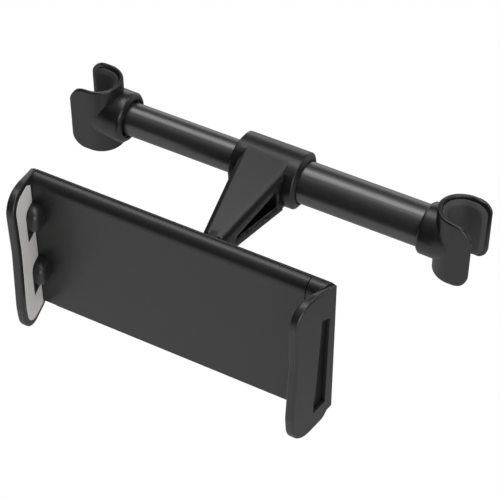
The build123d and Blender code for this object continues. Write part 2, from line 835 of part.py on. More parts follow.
export_step(front_shell.part, "parts/front_shell.step")

# Slide: the right jaw, its root block and the tongue that runs in the plate.
with BuildPart() as slide:
    add(jaw_end.part)
    with BuildPart(mode=Mode.PRIVATE) as block:
        add(slab(block_corners, block_rounds, seam_x + seam_gap, 0, jaw_out, jaw_out_lean))
        block_side = jaw_out + jaw_back * (jaw_out_lean + root_slope)
        split(bisect_by=leaning(block_side, -root_slope), keep=Keep.BOTTOM)
    add(block.part)
    for level in (-plate_half_height, plate_half_height):
        with Locations((seam_x + 3.2, shell_depth + groove / 2, level)):
            Box(8, groove, 0.9, mode=Mode.SUBTRACT)
    with BuildSketch(section(tongue_left)):
        with Locations(((tongue_front + tongue_back) / 2, 0)):
            Rectangle(tongue_back - tongue_front, 2 * tongue_half)
    extrude(amount=seam_x + 2 - tongue_left)
    # Long slot for the stop pin.
    slot_left = stop_pin_x - slide_travel - stop_pin_r - free_gap
    slot_right = stop_pin_x + stop_pin_r + free_gap
    with BuildSketch(Plane.XZ.offset(-tongue_front + 1)):
        with Locations(((slot_left + slot_right) / 2, 0)):
            SlotOverall(slot_right - slot_left, 2 * (stop_pin_r + free_gap))
    extrude(amount=-(tongue_back - tongue_front + 2), mode=Mode.SUBTRACT)
    # Channels for the springs, and the holes for the screws that pull them.
    with BuildSketch(Plane.XZ.offset(-3.6)):
        for level in (-spring_z, spring_z):
            with Locations(((tongue_left + puller_x - 1.1) / 2 - 1, level)):
                Rectangle(puller_x - 1.1 - tongue_left + 2, 2 * channel_half)
    extrude(amount=-3, mode=Mode.SUBTRACT)
    with BuildSketch(Plane.XZ.offset(-tongue_front + 1)):
        for level in (-spring_z, spring_z):
            with Locations((puller_x, level)):
                Circle(spring_screw_r + seat_gap)
    extrude(amount=-4, mode=Mode.SUBTRACT)
slide.part.label = "slide"
export_step(slide.part, "parts/slide.step")

# Back cover, with the socket of the ball joint.
cover_left = -(pad_face + pad_proud + pad_lean * cover_front) + groove
cover_corners = (
    (cover_front, plate_half_height),
    (cover_front, -plate_half_height),
    (jaw_back, -plate_half_height),
    (cover_depth, -plate_half_height + 4),
    (cover_depth, plate_half_height - 4),
    (jaw_back, plate_half_height),
)
with BuildPart() as back_cover:
    with BuildSketch(section(cover_left)):
        with BuildLine():
            FilletPolyline(*cover_corners, radius=(0.2, 0.2, 0.5, 0.5, 0.5, 0.5), close=True)
        make_face()
    extrude(amount=seam_x - cover_left)
    # Channels for the springs.
    with BuildSketch(Plane.XZ.offset(-cover_front + 1)):
        for level in (-spring_z, spring_z):
            with Locations(((anchor_x - 3.5 + seam_x - 2.5) / 2, level)):
                Rectangle(seam_x - 2.5 - anchor_x + 3.5, 2 * channel_half)
    extrude(amount=-(channel_floor_y - cover_front + 1), mode=Mode.SUBTRACT)
    # Bosses for the screws that hold the springs' fixed ends.
    with BuildSketch(Plane.XZ.offset(-channel_floor_y)):
        for level in (-spring_z, spring_z):
            with Locations((anchor_x, level)):
                Circle(2.6)
    extrude(amount=-(cover_depth + 1.4 - channel_floor_y))
    with BuildSketch(Plane.XZ.offset(-cover_front)):
        for level in (-spring_z, spring_z):
            with Locations((anchor_x, level)):
                Circle(spring_screw_r + seat_gap)
    extrude(amount=-(cover_depth + 0.8 - cover_front), mode=Mode.SUBTRACT)
    # Socket.
    with BuildSketch(joint_centre.offset(cover_depth - 0.5 - ball_y)):
        Circle(boss_r)
    extrude(amount=socket_back_y - cover_depth + 0.5)
    with BuildSketch(joint_centre):
        Circle(socket_r)
    extrude(amount=socket_back_y - ball_y + 1, mode=Mode.SUBTRACT)
    with Locations((0, ball_y, ball_z)):
        Sphere(socket_r, mode=Mode.SUBTRACT)
    # Screw holes with counterbores.
    with BuildSketch(Plane.XZ.offset(-cover_front + 1)):
        for level in (-cover_screw_z, cover_screw_z):
            with Locations(*[(x, level) for x in cover_screw_xs]):
                Circle(cover_screw_r + seat_gap)
    extrude(amount=-6, mode=Mode.SUBTRACT)
    with BuildSketch(Plane.XZ.offset(-cover_depth + cover_screw_sink)):
        for level in (-cover_screw_z, cover_screw_z):
            with Locations(*[(x, level) for x in cover_screw_xs]):
                Circle(cover_screw_head_r + 0.15)
    extrude(amount=-3, mode=Mode.SUBTRACT)
back_cover.part.label = "back_cover"
export_step(back_cover.part, "parts/back_cover.step")


def small_screws(places, head_y, head_depth, head_r, shank_r, tip_y):
    # Screws along Y at (x, z) places. Each head starts at head_y and its shank ends at tip_y.
    with BuildPart() as screws:
        way = 1 if head_depth > 0 else -1
        for place in places:
            with BuildSketch(Plane.XZ.offset(-head_y)):
                with Locations(place):
                    Circle(head_r)
            extrude(amount=-head_depth)
            with BuildSketch(Plane.XZ.offset(-tip_y)):
                with Locations(place):
                    Circle(shank_r)
            extrude(amount=tip_y - head_y)
            with BuildSketch(Plane.XZ.offset(-head_y - head_depth + 0.6 * way)):
                with Locations(place):
                    RegularPolygon(head_r * 0.4, 6, major_radius=False)
            extrude(amount=-2 * way, mode=Mode.SUBTRACT)
    return screws.part


cover_screw_places = [(x, z) for x in cover_screw_xs for z in (-cover_screw_z, cover_screw_z)]
cover_screws = small_screws(
    cover_screw_places,
    cover_depth - cover_screw_sink,
    cover_screw_head,
    cover_screw_head_r,
    cover_screw_r,
    cover_screw_tip_y,
)
cover_screws.label = "cover_screws"
export_step(cover_screws, "parts/cover_screws.step")
anchor_places = [(anchor_x, -spring_z), (anchor_x, spring_z)]
cover_spring_screws = small_screws(
    anchor_places,
    anchor_head_y,
    -spring_screw_head,
    spring_screw_head_r,
    spring_screw_r,
    cover_depth + 0.7,
)
cover_spring_screws.label = "cover_spring_screws"
export_step(cover_spring_screws, "parts/cover_spring_screws.step")
puller_places = [(puller_x, -spring_z), (puller_x, spring_z)]
slide_spring_screws = small_screws(
    puller_places,
    puller_head_y,
    spring_screw_head,
    spring_screw_head_r,
    spring_screw_r,
    tongue_front + 0.2,
)
slide_spring_screws.label = "slide_spring_screws"
export_step(slide_spring_screws, "parts/slide_spring_screws.step")

# Jaw springs: pull the slide shut.
jaw_spring_left = anchor_x + 1.2 + spring_wire_r
jaw_spring_right = puller_x - 1.95 - spring_wire_r
with BuildPart() as jaw_springs:
    for level in (-spring_z, spring_z):
        add(
            coil(
                (jaw_spring_left, spring_axis_y, level),
                (1, 0, 0),
                jaw_spring_right - jaw_spring_left,
                spring_r,
                spring_wire_r,
                spring_turns,
            )
        )
jaw_springs.part.label = "jaw_springs"
export_step(jaw_springs.part, "parts/jaw_springs.step")
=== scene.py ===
import json
import math

import bmesh
import bpy
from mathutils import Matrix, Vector


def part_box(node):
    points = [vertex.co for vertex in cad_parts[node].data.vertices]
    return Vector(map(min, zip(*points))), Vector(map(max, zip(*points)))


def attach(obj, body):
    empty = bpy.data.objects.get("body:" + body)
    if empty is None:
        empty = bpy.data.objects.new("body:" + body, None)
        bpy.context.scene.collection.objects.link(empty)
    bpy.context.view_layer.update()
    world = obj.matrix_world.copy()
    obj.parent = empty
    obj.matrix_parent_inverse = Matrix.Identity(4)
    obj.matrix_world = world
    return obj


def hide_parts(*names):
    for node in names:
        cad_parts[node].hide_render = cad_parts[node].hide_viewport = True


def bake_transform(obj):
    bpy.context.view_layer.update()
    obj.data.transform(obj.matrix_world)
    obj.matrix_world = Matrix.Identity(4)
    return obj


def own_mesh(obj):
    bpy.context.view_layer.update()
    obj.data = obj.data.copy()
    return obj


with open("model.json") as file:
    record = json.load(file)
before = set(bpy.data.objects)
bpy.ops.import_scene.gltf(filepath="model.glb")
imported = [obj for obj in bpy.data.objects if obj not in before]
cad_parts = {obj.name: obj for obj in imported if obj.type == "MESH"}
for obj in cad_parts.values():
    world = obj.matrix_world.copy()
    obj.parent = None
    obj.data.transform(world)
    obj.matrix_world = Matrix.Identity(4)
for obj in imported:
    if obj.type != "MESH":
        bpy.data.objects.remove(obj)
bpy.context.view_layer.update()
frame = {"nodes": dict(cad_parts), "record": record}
nodes = frame["nodes"]
mm = 0.001
whiteLevel = 255
displayGamma = 2.2


class Wire:
    # A socket that can be added, multiplied and compared like a number.
    def __init__(self, builder, socket):
        self.builder = builder
        self.socket = socket

    def maths(self, operation, first, second):
        return self.builder.node("ShaderNodeMath", {"operation": operation}, {0: first, 1: second})

    def __add__(self, other):
        return self.maths("ADD", self, other)

    def __radd__(self, other):
        return self.maths("ADD", other, self)

    def __sub__(self, other):
        return self.maths("SUBTRACT", self, other)

    def __rsub__(self, other):
        return self.maths("SUBTRACT", other, self)

    def __mul__(self, other):
        return self.maths("MULTIPLY", self, other)

    def __rmul__(self, other):
        return self.maths("MULTIPLY", other, self)

    def __gt__(self, other):
        return self.maths("GREATER_THAN", self, other)


class Builder:
    # Adds nodes to the tree of a material, the world or a geometry.
    def __init__(self, tree):
        self.tree = tree

    def node(self, kind, settings=None, sockets=None, out=0):
        # Gives back one output of the new node, or the node itself where out is None.
        made = self.tree.nodes.new(kind)
        for name, value in (settings or {}).items():
            if name == "stops":
                ramp = made.color_ramp
                while len(ramp.elements) < len(value):
                    ramp.elements.new(0.5)
                for element, (place, colour) in zip(ramp.elements, value):
                    element.position = place
                    element.color = colour
            else:
                setattr(made, name, value)
        for key, value in (sockets or {}).items():
            if isinstance(value, Wire):
                self.tree.links.new(value.socket, made.inputs[key])
            else:
                made.inputs[key].default_value = value
        return made if out is None else Wire(self, made.outputs[out])

    def place(self, stretch=(1, 1, 1)):
        # Object coordinates, so that a pattern stays on its piece.
        here = self.node("ShaderNodeTexCoord", out="Object")
        return self.node("ShaderNodeMapping", sockets={"Vector": here, "Scale": stretch})

    def noise(self, where, scale, detail=3.0, roughness=0.6):
        sockets = {"Vector": where, "Scale": scale, "Detail": detail, "Roughness": roughness}
        return self.node("ShaderNodeTexNoise", sockets=sockets)

    def mixColour(self, amount, dark, light):
        # The Mix node's colour sockets are its inputs 6 and 7 and its output 2.
        return self.node("ShaderNodeMix", {"data_type": "RGBA"}, {0: amount, 6: dark, 7: light}, out=2)

    def bump(self, height, strength, distance):
        sockets = {"Height": height, "Strength": strength, "Distance": distance}
        return self.node("ShaderNodeBump", sockets=sockets)


def grey(level, warmth=0.0):
    # Linear colour of a grey whose written level is 0 to 255, redder for a warmth over 0.
    tone = (level / whiteLevel) ** displayGamma
    return (tone * (1 + warmth), tone, tone * (1 - warmth), 1)


def shared(first, second, share):
    # A mean of two patterns, in which the first has this share.
    return first * share + second * (1 - share)


def around(middle, *swings):
    # A value that swings about its middle with each pattern, by that pattern's reach.
    for pattern, reach in swings:
        middle = middle + (pattern - 0.5) * reach
    return middle


def freshTree(owner):
    # Empties the tree of a material or the world.
    owner.use_nodes = True
    owner.node_tree.nodes.clear()
    return Builder(owner.node_tree)


def closeMaterial(builder, sockets):
    # Every finish ends in one shader, which gets these values and links.
    shader = builder.node("ShaderNodeBsdfPrincipled", sockets=sockets)
    builder.node("ShaderNodeOutputMaterial", sockets={"Surface": shader}, out=None)


# In the looks, greys are written levels, and the grain's size and depth are in mm.
plasticLook = {
    "plateBlack": dict(
        level=30, spread=2, rough=0.38, roughSpread=0.10, grain=0.16, depth=0.018, specular=0.5),
    "armBlack": dict(
        level=25, spread=2, rough=0.36, roughSpread=0.08, grain=0.14, depth=0.014, specular=0.42),
    "hookBlack": dict(
        level=27, spread=2, rough=0.34, roughSpread=0.08, grain=0.14, depth=0.012, specular=0.5),
    "ringBlack": dict(
        level=28, spread=2, rough=0.44, roughSpread=0.08, grain=0.20, depth=0.02, specular=0.5),
    # Painted shade: a near-black, duller copy of the jaw's plastic for the floor of its slot.
    "slotPaintedShade": dict(
        level=10, spread=2, rough=0.55, roughSpread=0.08, grain=0.16, depth=0.018, specular=0.12),
    "innerPlastic": dict(
        level=92, spread=6, rough=0.45, roughSpread=0.08, grain=0.30, depth=0.01, specular=0.5),
    "seatPlastic": dict(
        level=206, spread=6, rough=0.30, roughSpread=0.06, grain=0.40, depth=0.006, specular=0.5),
}
plasticPattern = dict(clouds=45.0, cloudShare=0.6, smears=160.0, smearStretch=(0.25, 1, 1), bump=0.5)


def mouldedPlastic(builder, look):
    # Moulded plastic with the fine spark grain of the tool and slight clouds in its gloss.
    pattern = plasticPattern
    here = builder.place()
    grain = builder.noise(here, 1 / (look["grain"] * mm), detail=2.0)
    clouds = builder.noise(here, pattern["clouds"], detail=4.0)
    smears = builder.noise(builder.place(pattern["smearStretch"]), pattern["smears"])
    darker, lighter = grey(look["level"] - look["spread"]), grey(look["level"] + look["spread"])
    tone = shared(clouds, grain, pattern["cloudShare"])
    closeMaterial(builder, {
        "Base Color": builder.mixColour(tone, darker, lighter),
        "Roughness": around(look["rough"], (smears, look["roughSpread"]), (grain, look["roughSpread"])),
        "Specular IOR Level": look["specular"],
        "Normal": builder.bump(grain, pattern["bump"], look["depth"] * mm),
    })


linerLook = {
    "linerRubber": dict(
        dark=54, light=61, skin=5200.0, clouds=90.0, cloudShare=0.7,
        rough=0.74, roughSpread=0.16, specular=0.4, bump=0.4, depth=0.02),
}


def hookRubber(builder, look):
    # Matte rubber with a fine even skin.
    here = builder.place()
    skin = builder.noise(here, look["skin"])
    clouds = builder.noise(here, look["clouds"], roughness=0.5)
    tone = shared(clouds, skin, look["cloudShare"])
    closeMaterial(builder, {
        "Base Color": builder.mixColour(tone, grey(look["dark"]), grey(look["light"])),
        "Roughness": around(look["rough"], (skin, look["roughSpread"])),
        "Specular IOR Level": look["specular"],
        "Normal": builder.bump(skin, look["bump"], look["depth"] * mm),
    })


# Painted shade: near-black for the inside of the arm's window, where only shade falls.
paintedShadeLook = {
    "windowPaintedShade": dict(
        dark=2, light=9, grain=6000.0, rough=0.9, roughSpread=0.1, specular=0.05, bump=0.3, depth=0.02),
}


def paintedShadeFinish(builder, look):
    # Painted shade: a near-black matte finish that stands in for the shade inside the arm's window, with a
    # fine grain like that of the wall beside it.
    grain = builder.noise(builder.place(), look["grain"], detail=2.0)
    closeMaterial(builder, {
        "Base Color": builder.mixColour(grain, grey(look["dark"]), grey(look["light"])),
        "Roughness": around(look["rough"], (grain, look["roughSpread"])),
        "Specular IOR Level": look["specular"],
        "Normal": builder.bump(grain, look["bump"], look["depth"] * mm),
    })


padLook = {
    "padRubber": dict(
        dark=172, light=190, warmth=0.02, skin=4200.0, clouds=60.0, pores=2600.0, cloudShare=0.6,
        skinShare=0.6, rough=0.7, roughSpread=0.12, specular=0.35, sheen=0.15, sheenRough=0.4,
        bump=0.35, depth=0.03),
}


def softPad(builder, look):
    # Light grey soft rubber, a little warm, with a fine suede skin.
    here = builder.place()
    skin = builder.noise(here, look["skin"], roughness=0.65)
    clouds = builder.noise(here, look["clouds"], detail=4.0)
    pores = builder.node("ShaderNodeTexVoronoi", sockets={"Vector": here, "Scale": look["pores"]})
    darker, lighter = grey(look["dark"], look["warmth"]), grey(look["light"], look["warmth"])
    relief = shared(skin, pores, look["skinShare"])
    closeMaterial(builder, {
        "Base Color": builder.mixColour(shared(clouds, skin, look["cloudShare"]), darker, lighter),
        "Roughness": around(look["rough"], (skin, look["roughSpread"])),
        "Specular IOR Level": look["specular"],
        "Sheen Weight": look["sheen"],
        "Sheen Roughness": look["sheenRough"],
        "Normal": builder.bump(relief, look["bump"], look["depth"] * mm),
    })


tubeLook = {
    "anodisedTube": dict(
        dark=80, light=92, rings=5200.0, ringStretch=(1, 0.02, 0.02), runs=1500.0,
        runStretch=(0.03, 1, 1), clouds=70.0, cloudShare=0.5, ringShare=0.7, metal=0.85,
        metalSpread=0.1, rough=0.33, ringRough=0.06, runRough=0.04, specular=0.5, bump=0.12, depth=0.003),
}


def anodised(builder, look):
    # Dark anodised aluminium with fine rings from polishing and faint marks along its length.
    rings = builder.noise(builder.place(look["ringStretch"]), look["rings"], roughness=0.7)
    runs = builder.noise(builder.place(look["runStretch"]), look["runs"])
    clouds = builder.noise(builder.place(), look["clouds"], roughness=0.5)
    tone = shared(clouds, rings, look["cloudShare"])
    relief = shared(rings, runs, look["ringShare"])
    closeMaterial(builder, {
        "Base Color": builder.mixColour(tone, grey(look["dark"]), grey(look["light"])),
        "Metallic": around(look["metal"], (clouds, look["metalSpread"])),
        "Roughness": around(look["rough"], (rings, look["ringRough"]), (runs, look["runRough"])),
        "Specular IOR Level": look["specular"],
        "Normal": builder.bump(relief, look["bump"], look["depth"] * mm),
    })


steelLook = {
    "springSteel": dict(dark=150, light=178, rough=0.30, scratches=2600.0),
    "screwSteel": dict(dark=70, light=96, rough=0.38, scratches=3200.0),
    "ballSteel": dict(dark=160, light=186, rough=0.22, scratches=2400.0),
}
steelPattern = dict(
    stretch=(0.15, 1, 1), clouds=180.0, cloudShare=0.6, metal=0.95, metalSpread=0.05,
    roughSpread=0.16, specular=0.5, bump=0.2, depth=0.008,
)


def scratchedSteel(builder, look):
    # Steel with fine scratches along it and slight clouds.
    pattern = steelPattern
    scratches = builder.noise(
        builder.place(pattern["stretch"]), look["scratches"], detail=4.0, roughness=0.65)
    clouds = builder.noise(builder.place(), pattern["clouds"])
    tone = shared(clouds, scratches, pattern["cloudShare"])
    closeMaterial(builder, {
        "Base Color": builder.mixColour(tone, grey(look["dark"]), grey(look["light"])),
        "Metallic": around(pattern["metal"], (clouds, pattern["metalSpread"])),
        "Roughness": around(look["rough"], (scratches, pattern["roughSpread"])),
        "Specular IOR Level": pattern["specular"],
        "Normal": builder.bump(scratches, pattern["bump"], pattern["depth"] * mm),
    })


finishes = (
    (mouldedPlastic, plasticLook), (hookRubber, linerLook), (paintedShadeFinish, paintedShadeLook),
    (softPad, padLook), (anodised, tubeLook), (scratchedSteel, steelLook),
)
materials = {}
for makeFinish, looks in finishes:
    for name, look in looks.items():
        materials[name] = bpy.data.materials.new(name)
        makeFinish(freshTree(materials[name]), look)
print("materials made:", len(materials))

record = frame["record"]
bodyOf = {node: body for body, members in record["behaviour"]["bodies"].items() for node in members}
slotOf = {entry["node"]: entry["material_slot"] for entry in record["subparts"]}
finishOf = {
    "black_shell": "plateBlack",
    "black_arm": "armBlack",
    "black_hook": "hookBlack",
    "black_ring": "ringBlack",
    "liner_rubber": "linerRubber",
    "jaw_pad": "padRubber",
    "dark_tube": "anodisedTube",
    "inner_plastic": "innerPlastic",
    "seat_plastic": "seatPlastic",
    "spring_steel": "springSteel",
    "screw_steel": "screwSteel",
    "ball_steel": "ballSteel",
}


def finish(piece, node, stretch=None):
    # Gives a piece the material of the node that it stands for and the body that it follows, and hides that
    # node.
    # A piece given a stretch follows no body: its place is baked into its mesh, and only whether there is a
    # stretch counts.
    piece.data.materials.clear()
    piece.data.materials.append(materials[finishOf[slotOf[node]]])
    if stretch:
        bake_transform(piece)
    else:
        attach(piece, bodyOf[node])
    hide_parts(node)


def inScene(name, data):
    made = bpy.data.objects.new(name, data)
    bpy.context.scene.collection.objects.link(made)
    return made


def inMm(vertex):
    return tuple(part / mm for part in vertex.co)


def weld(mesh, apart, shortest):
    # Joins points that lie less than apart from each other, and drops edges under the shortest, both in mm.
    work = bmesh.new()
    work.from_mesh(mesh)
    bmesh.ops.remove_doubles(work, verts=work.verts, dist=apart * mm)
    bmesh.ops.dissolve_degenerate(work, edges=work.edges, dist=shortest * mm)
    work.to_mesh(mesh)
    work.free()


def joinRows(work, rows, turned=False):
    # Lays faces between rows of points, and turns them round where asked.
    faces = []
    for lower, upper in zip(rows, rows[1:]):
        for index in range(len(lower) - 1):
            corners = (lower[index], lower[index + 1], upper[index + 1], upper[index])
            faces.append(work.faces.new(corners[::-1] if turned else corners))
    return faces


def smoothShade(piece, angle):
    # Shades a piece smooth, apart from the edges that are sharper than the angle in degrees.
    for polygon in piece.data.polygons:
        polygon.use_smooth = True
    piece.data.set_sharp_from_angle(angle=math.radians(angle))


def applied(piece):
    # Turns a piece with modifiers into a plain mesh.
    graph = bpy.context.evaluated_depsgraph_get()
    mesh = bpy.data.meshes.new_from_object(piece.evaluated_get(graph))
    mesh.name = piece.name
    piece.modifiers.clear()
    piece.data = mesh
    return piece


def breakEdges(piece, width, angle, segments):
    # Rounds the edges that are sharper than the angle in degrees, by a width in mm.
    bevel = piece.modifiers.new("edge", "BEVEL")
    bevel.width = width * mm
    bevel.segments = segments
    bevel.limit_method = "ANGLE"
    bevel.angle_limit = math.radians(angle)
    bevel.use_clamp_overlap = True
    applied(piece)


# Distances in mm, the angle in degrees within which faces are one flat face, the steps of a rounded edge,
# and how much more a large face counts in the shading.
dressing = dict(apart=0.002, shortest=0.0005, flatWithin=0.6, segments=3, weight=50)


def dressed(node, name, edge, angle, reshape):
    # The node's own shape, with its small edges broken and its curves shaded smooth.
    sizes = dressing
    piece = inScene(name, nodes[node].data.copy())
    piece.data.name = name
    weld(piece.data, sizes["apart"], sizes["shortest"])
    if reshape:
        reshape(piece)
    if edge:
        flatten = piece.modifiers.new("flatten", "DECIMATE")  # flat faces become one face each
        flatten.decimate_type = "DISSOLVE"
        flatten.angle_limit = math.radians(sizes["flatWithin"])
        applied(piece)
        breakEdges(piece, edge, angle, sizes["segments"])
    smoothShade(piece, angle)
    weigh = piece.modifiers.new("weigh", "WEIGHTED_NORMAL")  # flat faces stay flat beside their roundings
    weigh.mode = "FACE_AREA"
    weigh.weight = sizes["weight"]
    weigh.keep_sharp = True
    applied(piece)
    finish(piece, node)
    return piece


# The heights, places and reaches below are in mm, and a jaw's own are measured from the middle outwards.
jawTop = dict(
    level=37.15, front=-7.5, reach=14.4, inner=62, fall=0.95, curve=2.2,  # the slope
    rearLevel=36, rearFront=5.6, rearInner=70.5, rearDrop=0.9,  # the corner behind it
)


def lowerJawTop(piece):
    # The jaw's top comes down in a round line to the plate's top behind.
    sizes = jawTop
    for vertex in piece.data.vertices:
        x, y, z = inMm(vertex)
        if z > sizes["level"] and y > sizes["front"] and abs(x) > sizes["inner"]:
            keep = 1 - sizes["fall"] * min(1, (y - sizes["front"]) / sizes["reach"]) ** sizes["curve"]
            vertex.co.z = (sizes["level"] + (z - sizes["level"]) * keep) * mm
        if z > sizes["rearLevel"] and y > sizes["rearFront"] and abs(x) > sizes["rearInner"]:
            vertex.co.z -= sizes["rearDrop"] * mm


slotEdge = dict(
    outer=69.8, depth=0.03, low=-30.2, high=23.7,  # where the slot's back edge is found
    move=1.9, bottom=-30, moveMore=0.022, lean=0.155,  # how it moves, and how the face there leans
    corner=20, cornerDrop=3.0,  # its upper end
)


def widenSlot(piece):
    # The slot's back edge moves back along the leaning outer face, most at its top.
    sizes = slotEdge
    for vertex in piece.data.vertices:
        x, y, z = inMm(vertex)
        if abs(x) > sizes["outer"] and abs(y) < sizes["depth"] and sizes["low"] < z < sizes["high"]:
            move = sizes["move"] + (z - sizes["bottom"]) * sizes["moveMore"]
            if z > sizes["corner"]:
                vertex.co.z -= sizes["cornerDrop"] * mm
            vertex.co.y += move * mm
            vertex.co.x += math.copysign(move * sizes["lean"] * mm, vertex.co.x)


lugSettings = dict(
    middles=(18.3, -14.3), face=68.45, lean=0.2256,  # the two heights, and the jaw's leaning inner face
    reach=(5.7, 8.1, 6.5), root=0.3, power=3.0, steps=(20, 28),  # the dome
    inner=62.9, gap=0.2, front=-8.2, back=-0.3, half=5.8,  # where the solid's own lug is found
    keepOut=0.78, keep=0.8,  # the share that it keeps inside the dome
)


def sinkLug(work, side, middle):
    # The solid's own lug gets smaller, so that the dome covers it.
    sizes = lugSettings
    for vertex in work.verts:
        x, y, z = inMm(vertex)
        face = sizes["face"] + sizes["lean"] * y
        beside = sizes["inner"] < side * x < face - sizes["gap"] and sizes["front"] < y < sizes["back"]
        if beside and abs(z - middle) < sizes["half"] + sizes["gap"]:
            out = side * (face + (side * x - face) * sizes["keepOut"])
            vertex.co = (out * mm, y * sizes["keep"] * mm, (middle + (z - middle) * sizes["keep"]) * mm)


def squarish(angle, power):
    # Cosine and sine pulled out towards the corners of a square.
    across, up = math.cos(angle), math.sin(angle)
    pull = (abs(across) ** power + abs(up) ** power) ** (-1 / power)
    return across * pull, up * pull


def addDome(work, side, middle):
    # Its three reaches are how far it stands out from the jaw and the plate, and up and down.
    sizes = lugSettings
    rows = []
    for row in range(sizes["steps"][0] + 1):
        width, rise = squarish(-math.pi / 2 + math.pi * row / sizes["steps"][0], sizes["power"])
        points = []
        for column in range(sizes["steps"][1] + 1):
            inward, forward = squarish(math.pi / 2 * column / sizes["steps"][1], sizes["power"])
            y = sizes["root"] - (sizes["reach"][1] + sizes["root"]) * width * forward
            x = side * (sizes["face"] + sizes["lean"] * y - sizes["reach"][0] * width * inward)
            points.append(work.verts.new((x * mm, y * mm, (middle + sizes["reach"][2] * rise) * mm)))
        rows.append(points)
    faces = joinRows(work, rows)
    bmesh.ops.recalc_face_normals(work, faces=faces)
    inside = Vector((side * sizes["face"] * mm, 0.0, middle * mm))
    probe = faces[len(faces) // 2]
    if (probe.calc_center_median() - inside).dot(probe.normal) < 0:
        bmesh.ops.reverse_faces(work, faces=faces)


def roundLugs(piece):
    # A smooth dome over each lug in the corner between the plate and the jaw.
    side = 1 if max(vertex.co.x for vertex in piece.data.vertices) > lugSettings["face"] * mm else -1
    work = bmesh.new()
    work.from_mesh(piece.data)
    for middle in lugSettings["middles"]:
        sinkLug(work, side, middle)
        addDome(work, side, middle)
    work.to_mesh(piece.data)
    work.free()


def jawShape(piece):
    lowerJawTop(piece)
    widenSlot(piece)
    roundLugs(piece)


rootSettings = dict(
    inner=-61.8, step=(0.1, 0.2),  # the left jaw's root, and how high it stands above the plate
    seam=61.9, seamReach=0.02, seamWidth=0.15,  # the plate's end beside the slide
    apart=0.004, shortest=0.002,
)


def levelRoot(piece):
    # The left jaw's root is brought level with the plate, so that no step shows between the lugs.
    sizes = rootSettings
    jawShape(piece)
    lowest, highest = sizes["step"]
    for vertex in piece.data.vertices:
        if vertex.co.x < sizes["inner"] * mm and lowest * mm < vertex.co.y < highest * mm:
            vertex.co.y = 0.0
        if abs(vertex.co.x - sizes["seam"] * mm) < sizes["seamReach"] * mm:
            vertex.co.x -= sizes["seamWidth"] * mm  # a seam wide enough to read as a dark line
    weld(piece.data, sizes["apart"], sizes["shortest"])


hookTrim = {
    # by side: the shares that the back wing and the front tip's top lose, and how far that tip is set in
    -1: dict(back=0.02, tipTop=0.18, tipIn=0.0),
    1: dict(back=0.07, tipTop=0.15, tipIn=1.0),
}
hookReach = dict(axis=89.2, behind=10, before=8, tipStart=92, tipLength=9.5, curve=1.4)


def trimHook(piece):
    # The wings of a hook differ a little in height, and the front one's tip falls away.
    sizes = hookReach
    for vertex in piece.data.vertices:
        x, y, _ = inMm(vertex)
        side = 1 if x > 0 else -1
        trim = hookTrim[side]
        behind = min(1, max(0, y - sizes["axis"]) / sizes["behind"])
        before = min(1, max(0, sizes["axis"] - y) / sizes["before"])
        tip = min(1, max(0, side * x - sizes["tipStart"]) / sizes["tipLength"]) ** sizes["curve"] * before
        vertex.co.z *= 1 - trim["back"] * behind
        if vertex.co.z > 0:
            vertex.co.z *= 1 - trim["tipTop"] * tip
        vertex.co.x -= side * trim["tipIn"] * tip * mm


def paintShadeOn(piece, name, chosen):
    # The faces that the function chooses get a second, darker material: painted shade where shade falls.
    piece.data.materials.append(materials[name])
    for polygon in piece.data.polygons:
        if chosen(polygon.center / mm, polygon.normal):
            polygon.material_index = 1


windowSettings = dict(
    front=42, back=73, half=13,  # the stretch of the arm that holds the window, and half the arm's width
    webHalf=1.2, middle=0.5,  # the web's reach each way, and the height between the floor and the roof
    webFacing=0.8, facing=0.3,  # how far a face has to look sideways, up or down
)


def armWindow(place, facing):
    # The web, floor and roof of the arm's window, which get painted shade.
    sizes = windowSettings
    if not (sizes["front"] < place.y < sizes["back"] and abs(place.x) < sizes["half"]):
        return False
    web = abs(facing.x) > sizes["webFacing"] and abs(place.x) < sizes["webHalf"]
    ground = facing.z > sizes["facing"] and place.z < sizes["middle"]
    roof = facing.z < -sizes["facing"] and place.z > sizes["middle"]
    return web or ground or roof


slotFloor = dict(
    face=71.5, lean=0.155, shallow=0.06, deep=4,  # the jaw's leaning outer face, and depths below it
    inner=67.5, low=-31, high=24.6, front=-6.8, back=6,  # the box that holds the slot
    facing=0.3,  # how far a face has to look outwards
)


def jawSlot(place, facing):
    # The floor of the slot, which gets painted shade: what looks outwards and lies below a jaw's leaning
    # outer face.
    sizes = slotFloor
    outward = facing.x * (1 if place.x > 0 else -1)
    depth = sizes["face"] + sizes["lean"] * place.y - abs(place.x)
    below = sizes["shallow"] < depth < sizes["deep"] and abs(place.x) > sizes["inner"]
    within = sizes["low"] < place.z < sizes["high"] and sizes["front"] < place.y < sizes["back"]
    return outward > sizes["facing"] and below and within


shellSettings = {
    # piece, rounding of its edges in mm, angle in degrees from which an edge counts, change of its shape
    "front_shell": ("frontShell", 0.3, 32, levelRoot),
    "back_cover": ("backCover", 0.25, 32, None),
    "slide": ("jawSlide", 0.3, 32, jawShape),
    "arm": ("hubArm", 0.0, 32, None),
    "left_hook": ("leftHook", 0.0, 17, trimHook),
    "right_hook": ("rightHook", 0.0, 17, trimHook),
    "left_jaw_pad": ("leftPad", 0.6, 32, None),
    "right_jaw_pad": ("rightPad", 0.6, 32, None),
    "outer_tube": ("outerTube", 0.0, 32, None),
    "inner_tube": ("innerTube", 0.0, 32, None),
    "lock_ring": ("lockRing", 0.0, 32, None),
    "ball_stud": ("ballStud", 0.0, 32, None),
}
shells = {node: dressed(node, *settings) for node, settings in shellSettings.items()}
# Painted shade: the inside of the arm's window gets a near-black material.
paintShadeOn(shells["arm"], "windowPaintedShade", armWindow)
# Painted shade on the floor of each jaw's slot.
paintShadeOn(shells["slide"], "slotPaintedShade", jawSlot)
paintShadeOn(shells["front_shell"], "slotPaintedShade", jawSlot)
print("shells dressed:", len(shells))


